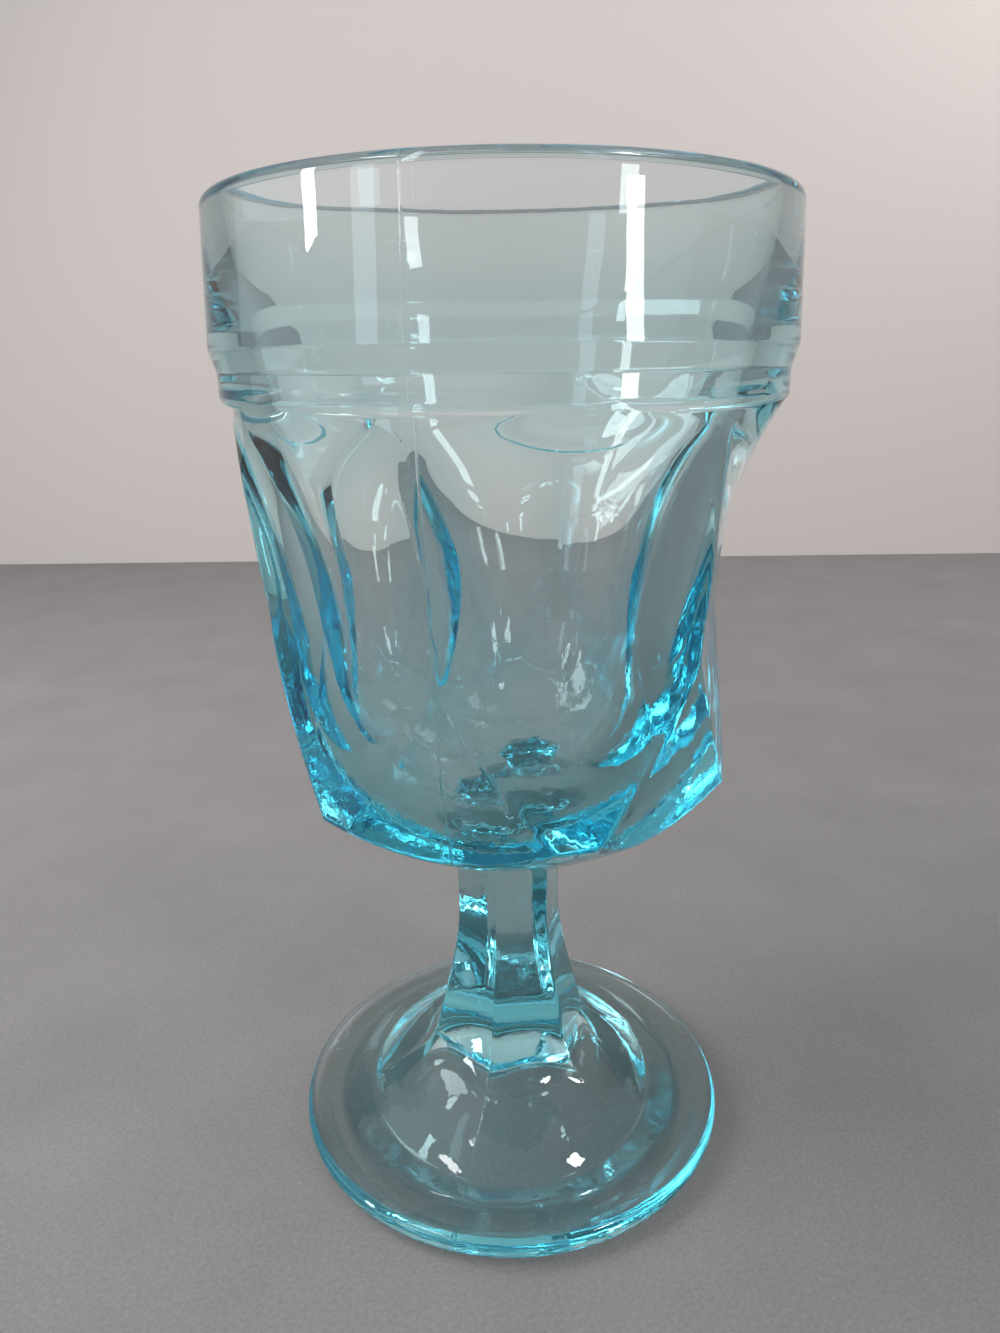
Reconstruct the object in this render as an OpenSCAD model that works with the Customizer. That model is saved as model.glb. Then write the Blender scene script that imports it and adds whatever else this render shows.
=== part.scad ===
// Water goblet of clear pale blue pressed glass, standing on its foot.
// A plain band and a ring run round the top of the bowl, six arched flutes run down it and meet
// six slanted flats near its base. A six-sided stem flares into a domed round foot.
// The origin is on the table under the centre of the foot, and +Z is up.

/* [Foot] */
// Radius of the foot at its widest
foot_r = 40.9; // [39:0.1:45]
// Radius of the rolled edge
foot_edge_r = 1.75; // [1.4:0.05:2]
// Slope of the underside between the standing ring and the rolled edge, in degrees
foot_bevel_angle = 14; // [12:0.5:18]
// Distance from the edge of the foot in to the standing ring
standing_in = 5.1; // [4.5:0.1:6]
// Width of the flat ring that the glass stands on
standing_w = 10.3; // [8.5:0.1:12]
// Distance from the edge of the foot in to the start of the dome
foot_dome_in = 7.3; // [6.5:0.1:9]
// Height of the foot, up to the stem
foot_h = 18; // [17:0.1:22]
// Height of the hollow under the foot
foot_hollow_h = 13; // [8:0.1:13.4]

/* [Stem] */
// Number of flats of the stem, and of flutes round the bowl
sides = 6; // [6]
// Half the width of the stem across its flats, at its waist
stem_flat_r = 8.55; // [7.5:0.05:9]
// Half the width of the stem across its flats, where it joins the foot
stem_foot_r = 13.1; // [12:0.1:14]
// Length of the stem
stem_h = 42; // [34:0.5:60]
// Height of the lower stretch of the stem, which widens towards the foot
stem_flare_h = 28; // [20:0.5:30]
// Height of the cove where the stem widens to meet the bowl
stem_cove_h = 3; // [1:0.1:4]

/* [Bowl] */
// Radius of the underside of the bowl, where it joins the stem
bowl_joint_r = 11; // [10:0.1:14]
// Height of the underside, from the stem to the tips of the flutes
bowl_under_h = 14.3; // [12:0.1:17]
// Height of the fluted stretch, from the tips of the flutes to the ring
bowl_fluted_h = 62; // [58:0.5:70]
// Height of the ring
ring_h = 4.9; // [3:0.1:7]
// Height of the slanted step between the ring and the band
step_h = 3.2; // [1:0.1:5]
// Height of the plain band, from its lower edge to the rim
band_h = 20.6; // [12:0.1:40]
// Radius of the band at its lower edge, which the rest of the bowl is set in from
band_r = 45.2; // [41:0.1:50]
// Distance from the lower edge of the band in to the rim
rim_in = 0.8; // [0:0.1:2]
// Distance from the band in to the ring
ring_in = 1; // [0.2:0.1:1.8]
// Distance from the band in to the neck under the ring
neck_in = 2.8; // [2.4:0.1:3.4]
// Distance from the band in to the upright lower stretch of the ribs
rib_in = 6.3; // [5.6:0.1:6.6]
// Height of that stretch above the tips of the flutes
rib_upright_h = 17.7; // [14:0.1:20]

/* [Flutes] */
// Distance from the band in to a flute at its deepest
flute_in = 10.8; // [9.8:0.1:11.2]
// Height from the tips of the flutes to their deepest point
flute_waist_h = 30.2; // [29:0.1:33]
// Radius of the hollow curve of a flute
flute_arc_r = 60; // [54:1:66]
// Slope of the straight tail of a flute, in degrees
flute_tail_angle = 8.5; // [7:0.5:9]
// Distance from the band in to a slanted flat at its top
flat_top_in = 5.45; // [5:0.05:6]
// Height from the tips of the flutes to the top of the slanted flats
flat_top_h = 29.7; // [26:0.1:34]
// Distance from the band in to a slanted flat at its bottom
flat_low_in = 13.6; // [12.6:0.1:14.6]
// Height from the stem to the bottom of the slanted flats
flat_low_h = 4; // [2:0.1:6]

/* [Cavity] */
// Thickness of the wall at the rim
rim_wall = 3.5; // [3:0.1:4]
// Thickness of the wall at the ring
ring_wall = 6.5; // [5.6:0.1:7.5]
// Thickness of the wall at the ribs, at the height where the inside starts to round in
rib_wall = 9.3; // [8.4:0.1:11]
// Height of the rounded bottom of the cavity
cavity_round_h = 28; // [22:0.5:30]
// Thickness of glass between the inside of the bowl and the stem
floor_t = 7; // [6:0.5:12]

/* [Hidden] */
$fn = 180;

// Steps along each curved outline, and round the rolled lip
curve_steps = 16;
lip_steps = 8;
// Turn from one flute to the next, and from a flute to the rib beside it
pitch = 360 / sides;
rib_turn = pitch / 2;
// A flute faces the front
front_turn = -90;
// Rise of the outer edge of a cut past the top of the flat that it makes
cut_over = 1;

// Heights of the bowl, from the table up
joint_z = foot_h + stem_h;
tip_z = joint_z + bowl_under_h;
waist_z = tip_z + flute_waist_h;
rib_upright_z = tip_z + rib_upright_h;
ring_z = tip_z + bowl_fluted_h;
step_z = ring_z + ring_h;
band_z = step_z + step_h;
rim_z = band_z + band_h;
floor_z = joint_z + floor_t;
round_z = floor_z + cavity_round_h;
shoulder_z = (ring_z + step_z) / 2;

// Radii of the bowl, from the rim down
rim_r = band_r - rim_in;
ring_r = band_r - ring_in;
neck_r = band_r - neck_in;
rib_r = band_r - rib_in;
flute_waist_r = band_r - flute_in;
shoulder_r = ring_r - ring_wall;
round_r = rib_r - rib_wall;
// Top and bottom of a slanted flat, seen from the side
flat_top = [band_r - flat_top_in, tip_z + flat_top_h];
flat_low = [band_r - flat_low_in, joint_z + flat_low_h];

// The lip is half round
lip_r = rim_wall / 2;
lip_centre = [rim_r - lip_r, rim_z - lip_r];
// The ring rounds in to the neck below it
ring_round = ring_r - neck_r;
// Centre of a flute's hollow curve, and the point where its straight tail starts and ends
flute_centre = [flute_waist_r + flute_arc_r, waist_z];
tail_top = flute_centre - flute_arc_r * [cos(flute_tail_angle), sin(flute_tail_angle)];
tip_r = tail_top[0] + (tail_top[1] - tip_z) * tan(flute_tail_angle);
tail_end = [tail_top[0] + (tail_top[1] - joint_z) * tan(flute_tail_angle), joint_z];

// Shares of the way across and of the way up that place the control points of the curved outlines
dome_shares = [[0.12, 0.4], [0.68, 0.51]];
ridge_shares = [[0.15, 0.55], [0.66, 0.7]];
ridge_end_shares = [0.58, 0.69];
hollow_shares = [[0.33, 0.58], [0.43, 1]];
flare_shares = [[0.47, 0.36], [1, 0.64]];
cove_shares = [[0, 0.5], [0.5, 0.85]];
under_shares = [[0.38, 0.15], [0.72, 0.49]];
body_shares = [[0.09, 0.25], [1, 0.68]];
flat_shares = [[0.45, 0.3], [0.93, 0.62]];
cavity_round_shares = [[0.743, 0], [0.966, 0.5]];
cavity_side_shares = [[0.115, 0.3], [0.716, 0.7]];
band_inside_shares = [[0.42, 0.3], [0.93, 0.6]];

// A curve between two ends, which leaves and arrives along the lines to its two control points
function between(a, b, shares) =
    [a[0] + (b[0] - a[0]) * shares[0], a[1] + (b[1] - a[1]) * shares[1]];
function curve(a, b, shares) =
    let (c = between(a, b, shares[0]), d = between(a, b, shares[1]))
    [for (i = [0:curve_steps])
        let (t = i / curve_steps, s = 1 - t)
        s * s * s * a + 3 * s * s * t * c + 3 * s * t * t * d + t * t * t * b];
function arc(centre, r, from, to, steps) =
    [for (i = [0:steps])
        let (turn = from + (to - from) * i / steps)
        centre + r * [cos(turn), sin(turn)]];

// The same curve drawn from its other end
function reversed(shares) = [for (i = [1, 0]) [for (s = shares[i]) 1 - s]];

// A solid with as many flats as the stem, from the right-hand edge of its side view
module flatted(edge) {
    last = len(edge) - 1;
    reach = 2 * max([for (p = edge) p[0]]);
    intersection_for (i = [0:sides / 2 - 1])
        rotate([0, 0, front_turn + i * pitch])
            rotate([90, 0, 0])
                linear_extrude(2 * reach, center = true)
                    polygon(concat(edge, [for (k = [last:-1:0]) [-edge[k][0], edge[k][1]]]));
}

// Cuts right across the bowl on every side, from the side view of one cut
module cuts_round(first_turn) {
    for (i = [0:sides - 1])
        rotate([0, 0, front_turn + first_turn + i * pitch])
            rotate([90, 0, 0])
                linear_extrude(2 * band_r, center = true) children();
}

// Solid body of the bowl below the ring, with its flutes and flats
module fluted_body() {
    difference() {
        rotate_extrude()
            polygon(concat(
                [[0, joint_z]],
                curve([bowl_joint_r, joint_z], [tip_r, tip_z], under_shares),
                [[rib_r, tip_z]],
                curve([rib_r, rib_upright_z], [neck_r, ring_z], body_shares),
                [[0, ring_z]]
            ));
        // The flutes are hollow above and straight towards their tips
        cuts_round(0) translate(flute_centre) circle(flute_arc_r);
        cuts_round(0)
            polygon([flute_centre, tail_top, tail_end, [flute_centre[0], joint_z]]);
        // The flats lean in below the ribs, and more so the lower they are
        cuts_round(rib_turn)
            polygon(concat(
                [[flat_low[0], joint_z]],
                curve(flat_low, flat_top, flat_shares),
                [[band_r, flat_top[1] + cut_over], [band_r, joint_z]]
            ));
    }
}

// Ring, band and rolled lip, open above the shoulder of the cavity
module band() {
    rotate_extrude()
        polygon(concat(
            [[0, ring_z]],
            arc([ring_r - ring_round, ring_z + ring_round], ring_round, -90, 0, lip_steps),
            [[ring_r, step_z], [band_r, band_z]],
            arc(lip_centre, lip_r, 0, 180, lip_steps),
            curve(
                [rim_r - rim_wall, rim_z - lip_r], [shoulder_r, shoulder_z],
                reversed(band_inside_shares)
            ),
            [[0, shoulder_z]]
        ));
}

// Inside of the bowl below its shoulder
module cavity() {
    rotate_extrude()
        polygon(concat(
            curve([0, floor_z], [round_r, round_z], cavity_round_shares),
            curve([round_r, round_z], [shoulder_r, shoulder_z], cavity_side_shares),
            [[0, shoulder_z]]
        ));
}

module bowl() {
    color([0.62, 0.85, 0.88])
        difference() {
            union() {
                fluted_body();
                band();
            }
            cavity();
        }
}

module stem() {
    top_r = bowl_joint_r * cos(rib_turn);
    color([0.58, 0.82, 0.85])
        flatted(concat(
            curve([stem_foot_r, foot_h], [stem_flat_r, foot_h + stem_flare_h], flare_shares),
            curve([stem_flat_r, joint_z - stem_cove_h], [top_r, joint_z], cove_shares)
        ));
}

module foot() {
    standing_r = foot_r - standing_in;
    hollow_r = standing_r - standing_w;
    // The rolled edge goes on from the bevel of the underside and ends level with the flat
    bevel_end_r = foot_r - foot_edge_r + foot_edge_r * sin(foot_bevel_angle);
    bevel_end_z = (bevel_end_r - standing_r) * tan(foot_bevel_angle);
    edge_centre = [foot_r - foot_edge_r, bevel_end_z + foot_edge_r * cos(foot_bevel_angle)];
    flat_z = edge_centre[1] + foot_edge_r;
    dome_top = [stem_foot_r, foot_h];
    dome_base = [foot_r - foot_dome_in, flat_z];
    ridge_end = between(dome_top, dome_base, ridge_end_shares);
    color([0.66, 0.85, 0.85])
        difference() {
            union() {
                rotate_extrude()
                    polygon(concat(
                        [[0, 0], [standing_r, 0]],
                        arc(edge_centre, foot_edge_r, foot_bevel_angle - 90, 90, lip_steps),
                        curve(dome_base, dome_top, reversed(dome_shares)),
                        [[0, foot_h]]
                    ));
                // The edges of the stem run on as six ridges that fade into the dome
                flatted(curve(ridge_end, dome_top, reversed(ridge_shares)));
            }
            rotate_extrude()
                polygon(concat(
                    [[0, 0]],
                    curve([hollow_r, 0], [0, foot_hollow_h], hollow_shares)
                ));
        }
}

bowl();
stem();
foot();
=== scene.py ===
# A water goblet of pale blue pressed glass on a grey cloth before a pale wall: a bowl with a plain band,
# a ring and six arched flutes, a six-sided stem, and a domed round foot. Lengths are in metres, +Z is up,
# and the origin is on the table under the middle of the foot.
from math import atan2, cos, degrees, hypot, pi, radians, sin, sqrt, tan

import bmesh
import bpy
from mathutils import Matrix, Vector


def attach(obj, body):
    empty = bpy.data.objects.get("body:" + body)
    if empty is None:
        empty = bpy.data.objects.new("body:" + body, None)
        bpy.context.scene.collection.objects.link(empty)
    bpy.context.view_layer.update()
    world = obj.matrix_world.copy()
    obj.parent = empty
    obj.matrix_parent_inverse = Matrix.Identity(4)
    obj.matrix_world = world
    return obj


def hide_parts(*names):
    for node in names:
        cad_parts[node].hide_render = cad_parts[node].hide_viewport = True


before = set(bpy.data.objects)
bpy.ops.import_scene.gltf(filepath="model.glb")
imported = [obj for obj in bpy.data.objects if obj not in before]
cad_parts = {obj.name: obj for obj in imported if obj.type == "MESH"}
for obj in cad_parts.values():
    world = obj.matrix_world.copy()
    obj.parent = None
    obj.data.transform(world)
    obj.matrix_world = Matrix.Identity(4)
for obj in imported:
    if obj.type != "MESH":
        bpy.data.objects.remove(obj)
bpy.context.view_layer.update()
mm = 0.001


# The foot is a thick disc of pressed glass that domes up to the stem and is hollow underneath, so that
# the goblet stands on a ring. From the ring its underside slopes up to a rolled edge. A fillet runs
# round the dome, and the six edges of the stem run on into the dome as ridges that fade.
foot_r = 40.9 * mm
foot_edge_r = 1.75 * mm
foot_bevel_angle = radians(14)
standing_r = foot_r - 5.1 * mm
foot_hollow_r = standing_r - 10.3 * mm
foot_dome_r = foot_r - 7.3 * mm
foot_h = 18 * mm
foot_hollow_h = 13 * mm
stem_foot_r = 13.1 * mm
dome_shares = [[0.12, 0.4], [0.68, 0.51]]
ridge_shares = [[0.15, 0.55], [0.66, 0.7]]
ridge_end_shares = [0.58, 0.69]
hollow_shares = [[0.33, 0.58], [0.43, 1]]
ridge_fade_r = 24 * mm
ridge_drop = 4 * mm
ridge_soft = 0.5 * mm
dome_fillet = 0.9 * mm
bevel_bend = 0.4 * mm
hollow_bend = 0.5 * mm
flat_row_step = 0.3 * mm
flat_row_count = 10
foot_columns = 60
dome_steps = 60
hollow_steps = 48
edge_steps = 24
# The joint faces of two pieces stand a hair apart
hair = 0.01 * mm
# Points this near to each other, and faces this near to a height, count as touching
touch = 0.001 * mm
flutes = 6
pitch = 2 * pi / flutes
# A flute and a flat of the stem face the front
front = -pi / 2


def between(a, b, shares):
    return [p + (q - p) * share for p, q, share in zip(a, b, shares)]


def curve(a, b, shares, steps):
    """Points on a curve from a to b that leaves and arrives along the lines to its two control points."""
    c, d = between(a, b, shares[0]), between(a, b, shares[1])
    points = []
    for i in range(steps + 1):
        t = i / steps
        s = 1 - t
        points.append([
            s * s * s * p + 3 * s * s * t * q + 3 * s * t * t * m + t * t * t * n
            for p, q, m, n in zip(a, c, d, b)
        ])
    return points


def arc(centre, r, start, end, steps):
    """Points on an arc between two angles in degrees."""
    points = []
    for i in range(steps + 1):
        turn = radians(start + (end - start) * i / steps)
        points.append([centre[0] + r * cos(turn), centre[1] + r * sin(turn)])
    return points


def soft_bend(before, at, after, reach):
    """Points of a bend between two straight stretches, rounded over that reach on both sides."""
    start = between(at, before, [reach / hypot(before[0] - at[0], before[1] - at[1])] * 2)
    end = between(at, after, [reach / hypot(after[0] - at[0], after[1] - at[1])] * 2)
    return [
        [(1 - t) ** 2 * p + 2 * t * (1 - t) * m + t * t * q for p, m, q in zip(start, at, end)]
        for t in (0, 0.25, 0.5, 0.75, 1)
    ]


def backward(shares):
    """The control points' shares for the same curve, drawn from its other end."""
    return [[1 - a, 1 - b] for a, b in shares[::-1]]


def value_at(points, x):
    """Second coordinate of a rising or falling outline where its first is x."""
    if points[0][0] > points[-1][0]:
        points = points[::-1]
    if x <= points[0][0]:
        return points[0][1]
    for p, q in zip(points, points[1:]):
        if x <= q[0]:
            return p[1] + (q[1] - p[1]) * (x - p[0]) / (q[0] - p[0])
    return points[-1][1]


def ease(value, start, end):
    """Rises smoothly from 0 to 1 between start and end."""
    share = min(max((value - start) / (end - start), 0), 1)
    return share * share * (3 - 2 * share)


def soft_min(a, b, reach):
    """The smaller of two lengths, with the crossing rounded over that reach."""
    blend = max(reach - abs(a - b), 0) / reach
    return min(a, b) - blend * blend * reach / 4


def soft_max(a, b, reach):
    """The larger of two lengths, rounded in the same way."""
    return -soft_min(-a, -b, reach)


def polar(v):
    return hypot(v.co.x, v.co.y), atan2(v.co.y, v.co.x)


def move_to(v, r, turn):
    v.co.x, v.co.y = r * cos(turn), r * sin(turn)


def off_flat(turn):
    """Angle from the middle of the nearest flute or flat, from minus half a pitch to half a pitch."""
    return (turn - front + pitch / 2) % pitch - pitch / 2


def turn_up(bm, outline, columns):
    """Turns an outline of radius and height through one pitch, and returns the new vertices."""
    before = set(bm.verts)
    verts = [bm.verts.new((r, 0, z)) for r, z in outline]
    edges = [bm.edges.new(pair) for pair in zip(verts, verts[1:])]
    bmesh.ops.spin(bm, geom=verts + edges, axis=(0, 0, 1), cent=(0, 0, 0), angle=pitch, steps=columns)
    return [v for v in bm.verts if v not in before]


def repeat_round(bm):
    """Copies one sixth of a piece round the axis."""
    geom = bm.verts[:] + bm.edges[:] + bm.faces[:]
    bmesh.ops.spin(bm, geom=geom, axis=(0, 0, 1), cent=(0, 0, 0), angle=2 * pi - pitch, steps=flutes - 1,
                   use_duplicate=True)


def new_piece(bm, name, material):
    mesh = bpy.data.meshes.new(name)
    bm.to_mesh(mesh)
    bm.free()
    mesh.materials.append(material)
    piece = bpy.data.objects.new(name, mesh)
    bpy.context.scene.collection.objects.link(piece)
    return piece


def finish_glass(bm, name, joint_heights):
    """Closes the shell, marks its joint faces and its outside, and makes the piece."""
    repeat_round(bm)
    bmesh.ops.remove_doubles(bm, verts=bm.verts, dist=2 * touch)
    bmesh.ops.recalc_face_normals(bm, faces=bm.faces)
    for layer in ("joint_face", "outer_face"):
        bm.faces.layers.float.new(layer)
    joint, outer = bm.faces.layers.float["joint_face"], bm.faces.layers.float["outer_face"]
    for face in bm.faces:
        face.smooth = True
        middle = face.calc_center_median()
        face[joint] = float(any(abs(middle.z - z) < touch for z in joint_heights))
        face[outer] = float(middle.x * face.normal.x + middle.y * face.normal.y > 0)
    for edge in bm.edges:
        if sum(face[joint] for face in edge.link_faces) == 1:
            edge.smooth = False
    return new_piece(bm, name, glass)


class Link:
    """An output socket in a node tree, with sums written as Python expressions."""

    def __init__(self, tree, socket=None):
        self.tree, self.socket = tree, socket

    def node(self, kind, settings=None, output=0, **inputs):
        """Adds a node: its settings, then its sockets by name, or by number as i0, i1 and so on."""
        new = self.tree.nodes.new(kind)
        for key, value in (settings or {}).items():
            setattr(new, key, value)
        for key, value in inputs.items():
            number = key[1:] if key[0] == "i" else ""
            socket = new.inputs[int(number) if number.isdigit() else key.replace("_", " ")]
            if isinstance(value, Link):
                self.tree.links.new(value.socket, socket)
            else:
                socket.default_value = value
        return Link(self.tree, new.outputs[output] if new.outputs else None)

    def maths(self, operation, a, b):
        return self.node("ShaderNodeMath", {"operation": operation}, i0=a, i1=b)

    def noise(self, scale, detail, roughness):
        return self.node("ShaderNodeTexNoise", Vector=self, Scale=scale, Detail=detail, Roughness=roughness)

    def rise(self, start, end, low=0.0, high=1.0):
        """Goes smoothly from low to high as this value goes from start to end."""
        smooth = {"interpolation_type": "SMOOTHSTEP"}
        return self.node("ShaderNodeMapRange", smooth, i0=self, i1=start, i2=end, i3=low, i4=high)

    def __add__(self, other):
        return self.maths("ADD", self, other)

    def __radd__(self, other):
        return self.maths("ADD", other, self)

    def __sub__(self, other):
        return self.maths("SUBTRACT", self, other)

    def __rsub__(self, other):
        return self.maths("SUBTRACT", other, self)

    def __mul__(self, other):
        return self.maths("MULTIPLY", self, other)

    def __rmul__(self, other):
        return self.maths("MULTIPLY", other, self)


glass = bpy.data.materials.new("pale_blue_pressed_glass")
glass.use_nodes = True
glass.node_tree.nodes.clear()
glass_index = 1.51
glass_colour = (0.0, 0.735, 0.82)
glass_density = 31.0
wave_depth = 0.05 * mm
nodes = Link(glass.node_tree)
place = nodes.node("ShaderNodeTexCoord", output="Object")
height = nodes.node("ShaderNodeSeparateXYZ", {}, 2, Vector=place)
# The thick lower glass is wavier than the band, and the lowest part of the bowl sparkles
broad_waves = place.noise(70.0, 1.0, 0.4) * 0.8
fine_waves = place.noise(420.0, 2.0, 0.5) * 0.8 * height.rise(115 * mm, 85 * mm, 0.1)
sparkle = place.noise(850.0, 0.0, 0.5) * 0.7 * height.rise(100 * mm, 78 * mm) * height.rise(30 * mm, 60 * mm)
# The two halves of the mould met in a plane through two opposite ribs, and left a raised line there
seam_turn = front - pitch / 2
seam_half_w = 0.22 * mm
across = nodes.node("ShaderNodeVectorMath", {"operation": "DOT_PRODUCT"}, 1, i0=place,
                    i1=(-sin(seam_turn), cos(seam_turn), 0))
outside_mask = nodes.node("ShaderNodeAttribute", {"attribute_name": "outer_face"}, output="Fac")
seam = across.maths("ABSOLUTE", across, 0).rise(seam_half_w, 0.0) * 1.2 * outside_mask
relief = broad_waves + fine_waves + sparkle + seam
bumped = nodes.node("ShaderNodeBump", Strength=1.0, Distance=wave_depth, Height=relief)
clear = nodes.node("ShaderNodeBsdfPrincipled", Base_Color=(1, 1, 1, 1), Roughness=0.0, IOR=glass_index,
                   Transmission_Weight=1.0, Normal=bumped)
# Light goes straight through the joint faces, because the real glass has none
joint_mask = nodes.node("ShaderNodeAttribute", {"attribute_name": "joint_face"}, output="Fac")
through = nodes.node("ShaderNodeBsdfTransparent")
skin = nodes.node("ShaderNodeMixShader", i0=joint_mask, i1=clear, i2=through)
# The colour is in the glass, so that thick parts are the bluest
body = nodes.node("ShaderNodeVolumeAbsorption", Color=(*glass_colour, 1), Density=glass_density)
nodes.node("ShaderNodeOutputMaterial", Surface=skin, Volume=body)

# The rolled edge goes on from the bevel of the underside and ends level with the flat
bevel_end_r = foot_r - foot_edge_r + foot_edge_r * sin(foot_bevel_angle)
bevel_end_z = (bevel_end_r - standing_r) * tan(foot_bevel_angle)
bevel_end = [bevel_end_r, bevel_end_z]
edge_centre = [foot_r - foot_edge_r, bevel_end_z + foot_edge_r * cos(foot_bevel_angle)]
flat_z = edge_centre[1] + foot_edge_r
foot_top = foot_h - hair
dome_top = [stem_foot_r, foot_h]
dome_base = [foot_dome_r, flat_z]
ridge_end = between(dome_top, dome_base, ridge_end_shares)
dome = curve(dome_top, dome_base, dome_shares, dome_steps)
ridge = curve(dome_top, ridge_end, ridge_shares, dome_steps)


def run_on(points, r):
    """An outline with one more point, on along its last slope to that radius."""
    slope = (points[-1][1] - points[-2][1]) / (points[-1][0] - points[-2][0])
    return points + [[r, points[-1][1] + slope * (r - points[-1][0])]]


def hexagon_r(flat_r, turn, soft):
    """Radius at a turn of a six-sided outline with softened corners."""
    off = off_flat(turn)
    return soft_min(flat_r / cos(off), flat_r / cos(pitch - abs(off)), soft)


bm = bmesh.new()
dome_on, ridge_on = run_on(dome, foot_r), run_on(ridge, foot_dome_r)
top_rows = [[0, foot_top], [stem_foot_r / 2, foot_top]]
flat_rows = [[foot_dome_r + flat_row_step * i, flat_z] for i in range(1, flat_row_count + 1)]
for v in turn_up(bm, top_rows + dome + flat_rows, foot_columns):
    r, turn = polar(v)
    if r < stem_foot_r - hair:
        continue
    if r > foot_dome_r:
        v.co.z = soft_max(value_at(dome_on, r), flat_z, dome_fillet)
        continue
    # Rows start on the stem's outline and become round at the foot of the dome
    corner = hexagon_r(stem_foot_r, turn, ridge_soft) / stem_foot_r
    spread = (foot_dome_r - r) / (foot_dome_r - stem_foot_r)
    r = r * (1 + (corner - 1) * spread ** 2)
    move_to(v, r, turn)
    h_dome = value_at(dome, r) if r > stem_foot_r else foot_h
    h_ridge = value_at(ridge_on, r * cos(off_flat(turn)))
    h_ridge -= ridge_drop * ease(r, ridge_fade_r, foot_dome_r)
    v.co.z = min(soft_max(soft_max(h_dome, h_ridge, ridge_soft), flat_z, dome_fillet), foot_top)
hollow = curve([foot_hollow_r, 0], [0, foot_hollow_h], hollow_shares, hollow_steps)
standing, hollow_edge = [standing_r, 0], [foot_hollow_r, 0]
# Rows beside a bend keep the long faces next to it flat in the light
underside = (
    [flat_rows[-1]]
    + arc(edge_centre, foot_edge_r, 90, degrees(foot_bevel_angle) - 90, edge_steps)
    + [between(bevel_end, standing, [share, share]) for share in (0.1, 0.5)]
    + soft_bend(bevel_end, standing, hollow_edge, bevel_bend)
    + [[(standing_r + foot_hollow_r) / 2, 0]]
    + soft_bend(standing, hollow_edge, hollow[1], hollow_bend)
    + hollow[2:]
)
turn_up(bm, underside, foot_columns)
foot = finish_glass(bm, "foot_glass", [foot_top])
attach(foot, "root")
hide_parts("foot")


# The stem is solid glass, pressed with six flats. It flares down to the foot, and widens in a short cove
# to meet the bowl. It is one with both, and nothing fixes it.
stem_flat_r = 8.55 * mm
stem_h = 42 * mm
stem_flare_h = 28 * mm
stem_cove_h = 3 * mm
bowl_joint_r = 11 * mm
flare_shares = [[0.47, 0.36], [1, 0.64]]
cove_shares = [[0, 0.5], [0.5, 0.85]]
stem_soft = 0.5 * mm
stem_columns = 40
flare_steps = 60
cove_steps = 16

joint_z = foot_h + stem_h
stem_top = joint_z - hair
top_r = bowl_joint_r * cos(pitch / 2)
bm = bmesh.new()
side = (
    [[0, foot_h], [stem_foot_r / 2, foot_h]]
    + curve([stem_foot_r, foot_h], [stem_flat_r, foot_h + stem_flare_h], flare_shares, flare_steps)
    + curve([stem_flat_r, joint_z - stem_cove_h], [top_r, stem_top], cove_shares, cove_steps)
    + [[top_r / 2, stem_top], [0, stem_top]]
)
for v in turn_up(bm, side, stem_columns):
    r, turn = polar(v)
    if r > 0:
        move_to(v, hexagon_r(r, turn, stem_soft), turn)
stem = finish_glass(bm, "stem_glass", [foot_h, stem_top])
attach(stem, "root")
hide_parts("stem")


# The bowl is thick pressed glass. A plain band and a ring run round its top. Below them six arched flutes
# run down between ribs to pointed tips, and six slanted flats lean in under the ribs. The mould left
# the flutes turned a little near the ring, and all edges soft.
bowl_under_h = 14.3 * mm
bowl_fluted_h = 62 * mm
ring_h = 4.9 * mm
step_h = 3.2 * mm
band_h = 20.6 * mm
band_r = 45.2 * mm
rim_r = band_r - 0.8 * mm
ring_r = band_r - 1 * mm
neck_r = band_r - 2.8 * mm
rib_r = band_r - 6.3 * mm
rib_upright_h = 17.7 * mm
flute_waist_r = band_r - 10.8 * mm
flute_waist_h = 30.2 * mm
flute_arc_r = 60 * mm
flute_tail_angle = radians(8.5)
flat_top_r = band_r - 5.45 * mm
flat_top_h = 29.7 * mm
flat_low_r = band_r - 13.6 * mm
flat_low_h = 4 * mm
rim_wall = 3.5 * mm
shoulder_r = ring_r - 6.5 * mm
round_r = rib_r - 9.3 * mm
cavity_round_h = 28 * mm
floor_t = 7 * mm
under_shares = [[0.38, 0.15], [0.72, 0.49]]
body_shares = [[0.09, 0.25], [1, 0.68]]
flat_shares = [[0.45, 0.3], [0.93, 0.62]]
cavity_round_shares = [[0.743, 0], [0.966, 0.5]]
cavity_side_shares = [[0.115, 0.3], [0.716, 0.7]]
band_inside_shares = [[0.07, 0.4], [0.58, 0.7]]
# Half the width over which the edges of the flutes are rounded
edge_turn = radians(0.8)
# The ribs stand this much prouder, up to a height from which it fades towards the ring
rib_lift = 0.15 * mm
rib_lift_top_z = 132 * mm
# Below the first height the flutes are straight across, and above the second they bend to meet their ribs
flute_bend_z = [98 * mm, 106 * mm]
# Above this height a flute is free to stand out past the ribs, so that it runs into the ring
flute_free_z = 133 * mm
# The flutes turn from the first height to the second
mould_twist = radians(-2.2)
mould_twist_z = [112 * mm, 129 * mm]
# The slanted flats run on past their top, up and out, until they have left the ribs
flat_past = [10 * mm, 0.6 * mm]
flat_reach_h = 3 * mm
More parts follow.
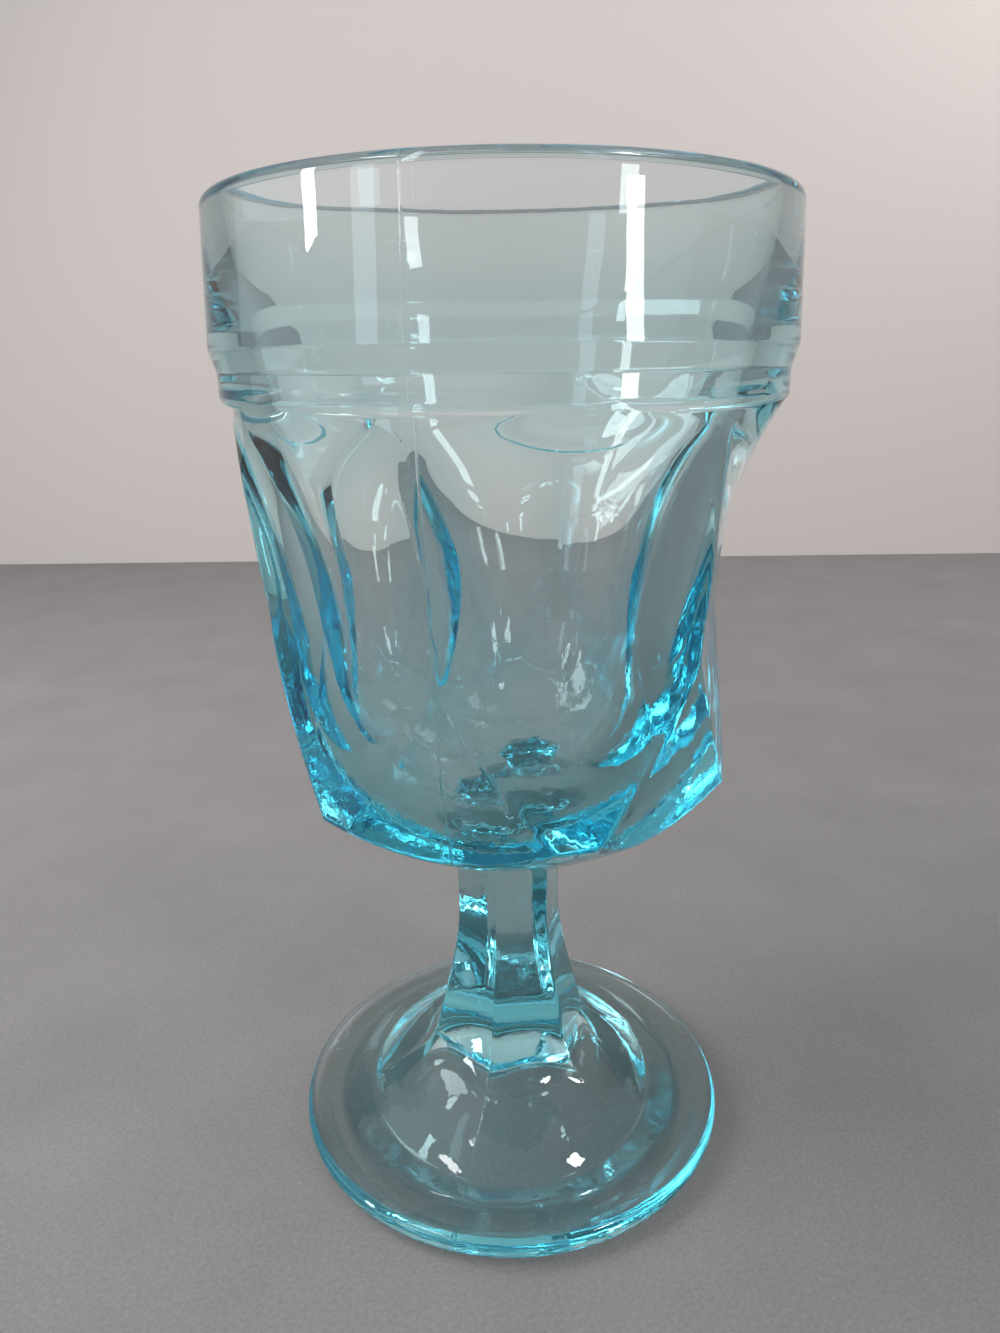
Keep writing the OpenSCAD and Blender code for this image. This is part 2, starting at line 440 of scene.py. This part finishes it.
# The underside is six-sided at the stem and round this far out from it
hexagon_fade = 4 * mm
ring_bend = 0.35 * mm
band_bend = 0.3 * mm
bowl_columns = 76
column_crowding = 0.16
flat_steps = 60
under_steps = 22
rib_upright_steps = 22
rib_side_steps = 200
rib_row_step = 0.8 * mm
rib_row_count = 48
arch_rows_z = 130.7 * mm
arch_row_step = 0.4 * mm
arch_row_count = 14
ring_under_steps = 10
lip_steps = 18
band_inside_steps = 10
cavity_side_steps = 24
cavity_round_steps = 28

tip_z = joint_z + bowl_under_h
waist_z = tip_z + flute_waist_h
rib_upright_z = tip_z + rib_upright_h
ring_z = tip_z + bowl_fluted_h
step_z = ring_z + ring_h
band_z = step_z + step_h
rim_z = band_z + band_h
floor_z = joint_z + floor_t
round_z = floor_z + cavity_round_h
shoulder_z = (ring_z + step_z) / 2
flat_top_z = tip_z + flat_top_h
lip_r = rim_wall / 2
lip_centre = [rim_r - lip_r, rim_z - lip_r]
ring_round = ring_r - neck_r
flute_centre_r = flute_waist_r + flute_arc_r
tail_z = waist_z - flute_arc_r * sin(flute_tail_angle)
tail_r = flute_centre_r - flute_arc_r * cos(flute_tail_angle)
tip_r = tail_r + (tail_z - tip_z) * tan(flute_tail_angle)

flat_low, flat_top = [flat_low_r, joint_z + flat_low_h], [flat_top_r, flat_top_z]
flat_side = [[z, r] for r, z in curve(flat_low, flat_top, flat_shares, flat_steps)]
flat_side.append([flat_top_z + flat_past[0], flat_top_r + flat_past[1]])
# Half the angle that a flute takes up, by height: full below, a narrow land beside it higher up, and
# an arch that closes towards the ring
flute_half_side = [[height * mm, radians(half)] for height, half in (
    (67, 30), (121, 30), (125, 29), (129, 28.5), (132, 28.6), (133.4, 28), (134.8, 26), (135.9, 23),
    (136.8, 19), (137.6, 14)
)]


def flute_r(z):
    """Distance from the axis to the middle of a flute."""
    if z < tail_z:
        return tail_r + (tail_z - z) * tan(flute_tail_angle)
    return flute_centre_r - sqrt(flute_arc_r ** 2 - (z - waist_z) ** 2)


def faceted_r(crest, off, z):
    """Radius of the fluted part of the bowl, off the middle of a flute, with sharp edges."""
    off = abs(off)
    if off > pitch / 2:
        off = pitch - off
    half = value_at(flute_half_side, z)
    r = crest
    if off < half:
        near, rib = flute_r(z), min(crest, neck_r)
        # The flute bends across so that it meets its two ribs
        bend = 2 * (near - rib * cos(half)) / (rib * sin(half)) ** 2 * ease(z, *flute_bend_z)
        flute = 2 * near / (cos(off) + sqrt(cos(off) ** 2 + 2 * near * sin(off) ** 2 * bend))
        if z > ring_z:
            r = min(max(crest, flute), ring_r)
        else:
            r = min(crest, flute) if z < flute_free_z else flute
    if z < flat_top_z + flat_reach_h:
        r = min(r, value_at(flat_side, z) / cos(pitch / 2 - off))
    return r


def soft_r(crest, turn, z):
    """The same radius with the edges rounded."""
    off = off_flat(turn)
    weights = (1, 2, 3, 2, 1)
    return sum(
        weight * faceted_r(crest, off + edge_turn * (k - 2) / 2, z) for k, weight in enumerate(weights)
    ) / sum(weights)


def crowded(turn):
    """Turn of a column after the columns are drawn together towards the ribs."""
    return turn + column_crowding * sin(flutes * off_flat(turn)) / (flutes / 2)


bm = bmesh.new()
cap_rows = [[0, joint_z], [bowl_joint_r / 2, joint_z]]
under = curve([bowl_joint_r, joint_z], [tip_r, tip_z], under_shares, under_steps)
rib_side = [[z, r] for r, z in curve([rib_r, rib_upright_z], [neck_r, ring_z], body_shares, rib_side_steps)]
rib_rows = [rib_upright_z + rib_row_step * i for i in range(1, rib_row_count + 1)]
rib_rows += [arch_rows_z + arch_row_step * i for i in range(arch_row_count)]
ribs = [[rib_r, tip_z + rib_upright_h * i / rib_upright_steps] for i in range(rib_upright_steps + 1)]
ribs += [[value_at(rib_side, z), z] for z in rib_rows]
ribs = [[r + rib_lift * (1 - ease(z, rib_lift_top_z, ring_z)), z] for r, z in ribs]
ring_under = arc([ring_r - ring_round, ring_z + ring_round], ring_round, -90, 0, ring_under_steps)
for v in turn_up(bm, cap_rows + under + ribs + ring_under, bowl_columns):
    r, turn = polar(v)
    if r == 0:
        continue
    turn = crowded(turn)
    hexagon = hexagon_r(top_r, turn, stem_soft)
    if v.co.z < joint_z + touch:
        r_new = r * hexagon / bowl_joint_r
    else:
        r_new = soft_r(r, turn, v.co.z) if v.co.z < ring_z + ring_round else r
        r_new += (hexagon - bowl_joint_r) * max(0, 1 - (r - bowl_joint_r) / hexagon_fade) ** 2
    move_to(v, r_new, turn)
ring_top, band_low = [ring_r, step_z], [band_r, band_z]
lip_start, lip_end = [rim_r, rim_z - lip_r], [rim_r - rim_wall, rim_z - lip_r]
shoulder, cavity_round = [shoulder_r, shoulder_z], [round_r, round_z]
top_and_inside = (
    [ring_under[-1]]
    + soft_bend(ring_under[-1], ring_top, band_low, ring_bend)
    + soft_bend(ring_top, band_low, lip_start, band_bend)
    + [between(band_low, lip_start, [share, share]) for share in (0.1, 0.3, 0.6, 0.9)]
    + arc(lip_centre, lip_r, 0, 180, lip_steps)
    + curve(lip_end, shoulder, band_inside_shares, band_inside_steps)[1:]
    + curve(shoulder, cavity_round, backward(cavity_side_shares), cavity_side_steps)[1:]
    + curve(cavity_round, [0, floor_z], backward(cavity_round_shares), cavity_round_steps)[1:]
)
for v in turn_up(bm, top_and_inside, bowl_columns):
    r, turn = polar(v)
    move_to(v, r, crowded(turn))
for v in bm.verts:
    r, turn = polar(v)
    move_to(v, r, turn + mould_twist * ease(v.co.z, *mould_twist_z))
bowl = finish_glass(bm, "bowl_glass", [joint_z])
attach(bowl, "root")
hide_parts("bowl")


# The table is covered with a short grey cloth, a little patchy, and a painted wall stands behind it.
# Both only set the goblet off, and neither belongs to the part.
camera_turn = radians(-15.35)
cloth_colour = (0.195, 0.184, 0.181)
wall_colour = (0.545, 0.49, 0.462)
table_half = 1.5
wall_half_w, wall_h = 1.5, 1.2
wall_back = 0.538
# The cloth lies a little below the goblet, so that the two never share a plane
cloth_z = -0.05 * mm


def plain(name, colour):
    """A matt material in one colour."""
    material = bpy.data.materials.new(name)
    material.use_nodes = True
    shader = material.node_tree.nodes["Principled BSDF"]
    shader.inputs["Base Color"].default_value = (*colour, 1)
    shader.inputs["Roughness"].default_value = 0.8
    return material


cloth = plain("grey_cloth", cloth_colour)
nodes = Link(cloth.node_tree)
place = nodes.node("ShaderNodeTexCoord", output="Object")
shade = 0.5 + place.noise(1400.0, 3.0, 0.7) * 0.7 + place.noise(28.0, 3.0, 0.5) * 0.3
red, green, blue = [shade * part for part in cloth_colour]
colour = nodes.node("ShaderNodeCombineXYZ", i0=red, i1=green, i2=blue)
cloth.node_tree.links.new(colour.socket, cloth.node_tree.nodes["Principled BSDF"].inputs["Base Color"])
bm = bmesh.new()
bmesh.ops.create_grid(bm, x_segments=1, y_segments=1, size=table_half)
bmesh.ops.translate(bm, verts=bm.verts, vec=(0, 0, cloth_z))
table = new_piece(bm, "table", cloth)

bm = bmesh.new()
bmesh.ops.create_grid(bm, x_segments=1, y_segments=1, size=wall_h / 2)
bmesh.ops.scale(bm, verts=bm.verts, vec=(2 * wall_half_w / wall_h, 1, 1))
bmesh.ops.rotate(bm, verts=bm.verts, matrix=Matrix.Rotation(pi / 2, 3, "X"))
bmesh.ops.translate(bm, verts=bm.verts, vec=(0, wall_back, wall_h / 2))
bmesh.ops.rotate(bm, verts=bm.verts, matrix=Matrix.Rotation(camera_turn, 3, "Z"))
wall = new_piece(bm, "wall", plain("pale_wall", wall_colour))


# The room's own light is a little brighter overhead and on the left, where its windows are. Two tall
# windows and a door show as upright strips in the band, and lamps on the ceiling as small bright spots.
room_light = 0.45
room_light_above = 0.25
room_light_left = 0.5
world = bpy.data.worlds.new("room")
bpy.context.scene.world = world
world.use_nodes = True
sky = world.node_tree.nodes["Background"]
sky.inputs["Color"].default_value = (0.94, 0.99, 1.03, 1)
nodes = Link(world.node_tree)
toward = nodes.node("ShaderNodeTexCoord", output="Generated")
up = nodes.node("ShaderNodeSeparateXYZ", {}, 2, Vector=toward)
left = -1 * nodes.node("ShaderNodeSeparateXYZ", {}, 0, Vector=toward)
from_above = up.maths("MAXIMUM", up, 0.0) * up * room_light_above
from_left = left.maths("MAXIMUM", left, 0.0) * left * room_light_left
room = room_light + from_above + from_left
world.node_tree.links.new(room.socket, sky.inputs["Strength"])


def soft_box(name, azimuth, distance, height, size, power, aim=(0, 0, 0.1), colour=(1, 1, 1), roll=0,
             mirrored=True):
    """A lamp panel, by default facing the glass and mirrored in it. Azimuth 0 is at the camera."""
    lamp = bpy.data.lights.new(name, "AREA")
    lamp.shape = "RECTANGLE"
    lamp.size, lamp.size_y = size
    lamp.energy = power
    lamp.color = colour
    panel = bpy.data.objects.new(name, lamp)
    bpy.context.scene.collection.objects.link(panel)
    turn = camera_turn + radians(azimuth) - pi / 2
    panel.location = (distance * cos(turn), distance * sin(turn), height)
    panel.rotation_euler = (Vector(aim) - panel.location).to_track_quat("-Z", "Y").to_euler()
    panel.rotation_euler.rotate_axis("Z", radians(roll))
    panel.visible_camera = False
    panel.visible_glossy = mirrored


soft_box("window_right", 46, 1.2, 0.22, (0.14, 0.46), 2.8)
soft_box("window_left", -71, 1.2, 0.56, (0.12, 0.42), 3.0, roll=12)
soft_box("door_left", -48, 1.2, 0.35, (0.18, 0.6), 0.9, colour=(0.75, 0.9, 1))
# The next panel lights the cloth on the left
soft_box("lamp_left", -95, 0.45, 0.42, (0.4, 0.3), 2.8, (0, -0.1, 0), mirrored=False)
soft_box("ceiling_right", 62, 0.5, 0.85, (0.1, 0.1), 1.0)
soft_box("ceiling_left", -58, 0.5, 0.85, (0.2, 0.06), 0.6)
# One panel faces away from the glass and lights the wall, and a small one lights the cloth at the back
soft_box("wall_light", 110, 0.6, 0.85, (1.8, 0.8), 2.6, (1.128, 1.979, 0.4))
soft_box("lamp_back_right", 130, 0.5, 0.45, (0.3, 0.2), 0.5, (0.25, 0.35, 0), mirrored=False)


# The camera stands close before the goblet, a little below the height of its rim, and looks down on it
# with a wide lens. Light may bend many times on its way through the thick glass.
eye_distance, eye_height = 0.158, 0.1428
tilt, roll, aside = radians(18.12), radians(-0.74), radians(0.43)
lens = 25.44
scene = bpy.context.scene
scene.view_settings.view_transform = "Standard"
scene.cycles.max_bounces = 32
scene.cycles.transmission_bounces = 32
scene.cycles.glossy_bounces = 16
scene.cycles.transparent_max_bounces = 32
eye = bpy.data.cameras.new("camera")
eye.lens = lens
eye.clip_start = 0.005
camera = bpy.data.objects.new("camera", eye)
scene.collection.objects.link(camera)
camera.matrix_world = (
    Matrix.Translation((eye_distance * sin(camera_turn), -eye_distance * cos(camera_turn), eye_height))
    @ Matrix.Rotation(camera_turn + aside, 4, "Z")
    @ Matrix.Rotation(pi / 2 - tilt, 4, "X")
    @ Matrix.Rotation(roll, 4, "Z")
)
scene.camera = camera
